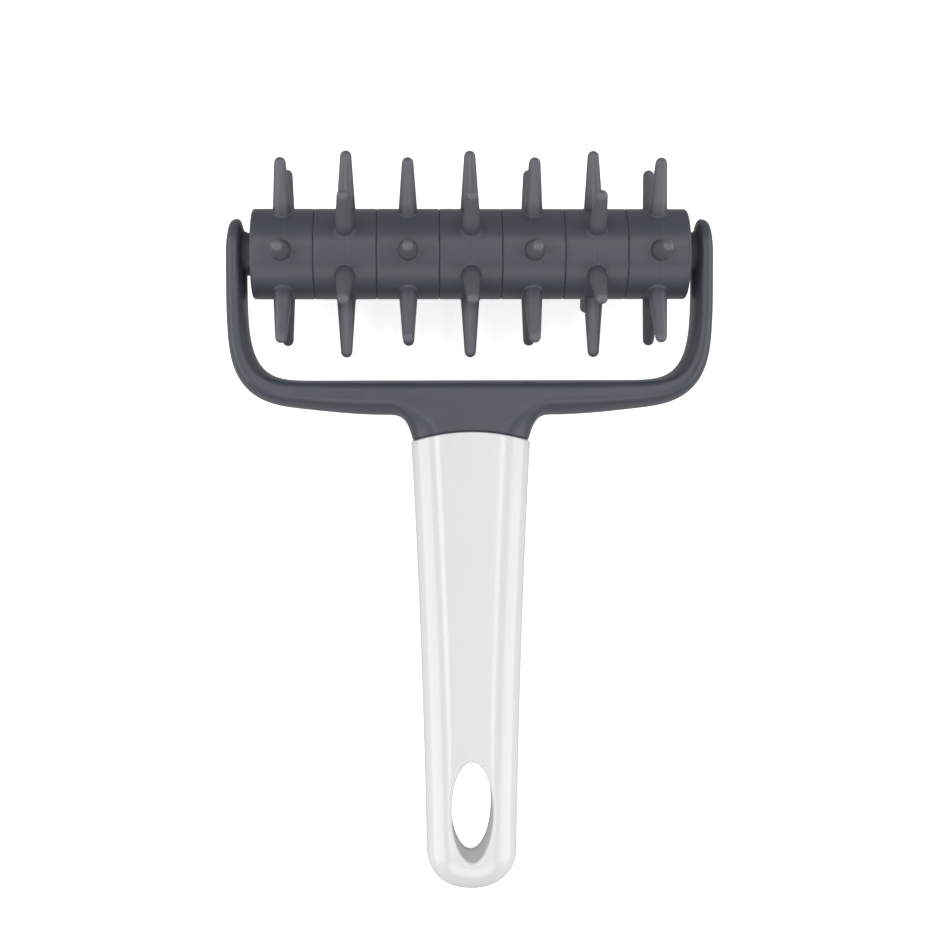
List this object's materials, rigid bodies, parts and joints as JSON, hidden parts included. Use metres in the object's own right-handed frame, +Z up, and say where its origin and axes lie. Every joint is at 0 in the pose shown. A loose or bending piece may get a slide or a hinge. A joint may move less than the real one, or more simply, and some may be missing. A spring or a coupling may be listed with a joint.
{
  "type": "dough docker",
  "caption": "Hand-held dough docker: a handle with a hanging hole and a U-shaped yoke that carries a free-turning roller of staggered spiked rings.",
  "frame": {"origin": "on the table, under the middle of the tool's length and width as it lies on its spikes and the end of its handle", "axes": "+X along the roller's axis, +Y from the handle's end towards the roller, +Z up from the table"},
  "size_m": [0.118, 0.179, 0.0497],
  "materials": {
    "grey_plastic": "fine matte moulded grey plastic",
    "white_plastic": "glossy moulded white plastic"
  },
  "bodies": {
    "frame": {"yoke": "grey_plastic", "handle": "white_plastic"},
    "roller": {"axle": "grey_plastic", "ring_1": "grey_plastic", "ring_2": "grey_plastic", "ring_3": "grey_plastic", "ring_4": "grey_plastic", "ring_5": "grey_plastic", "ring_6": "grey_plastic", "ring_7": "grey_plastic"}
  },
  "joints": [
    {"name": "roller_spin", "type": "hinge", "parent": "frame", "child": "roller", "pos_m": [0, 0.06464, 0.02484], "axis": [1, 0, 0], "continuous": true}
  ]
}
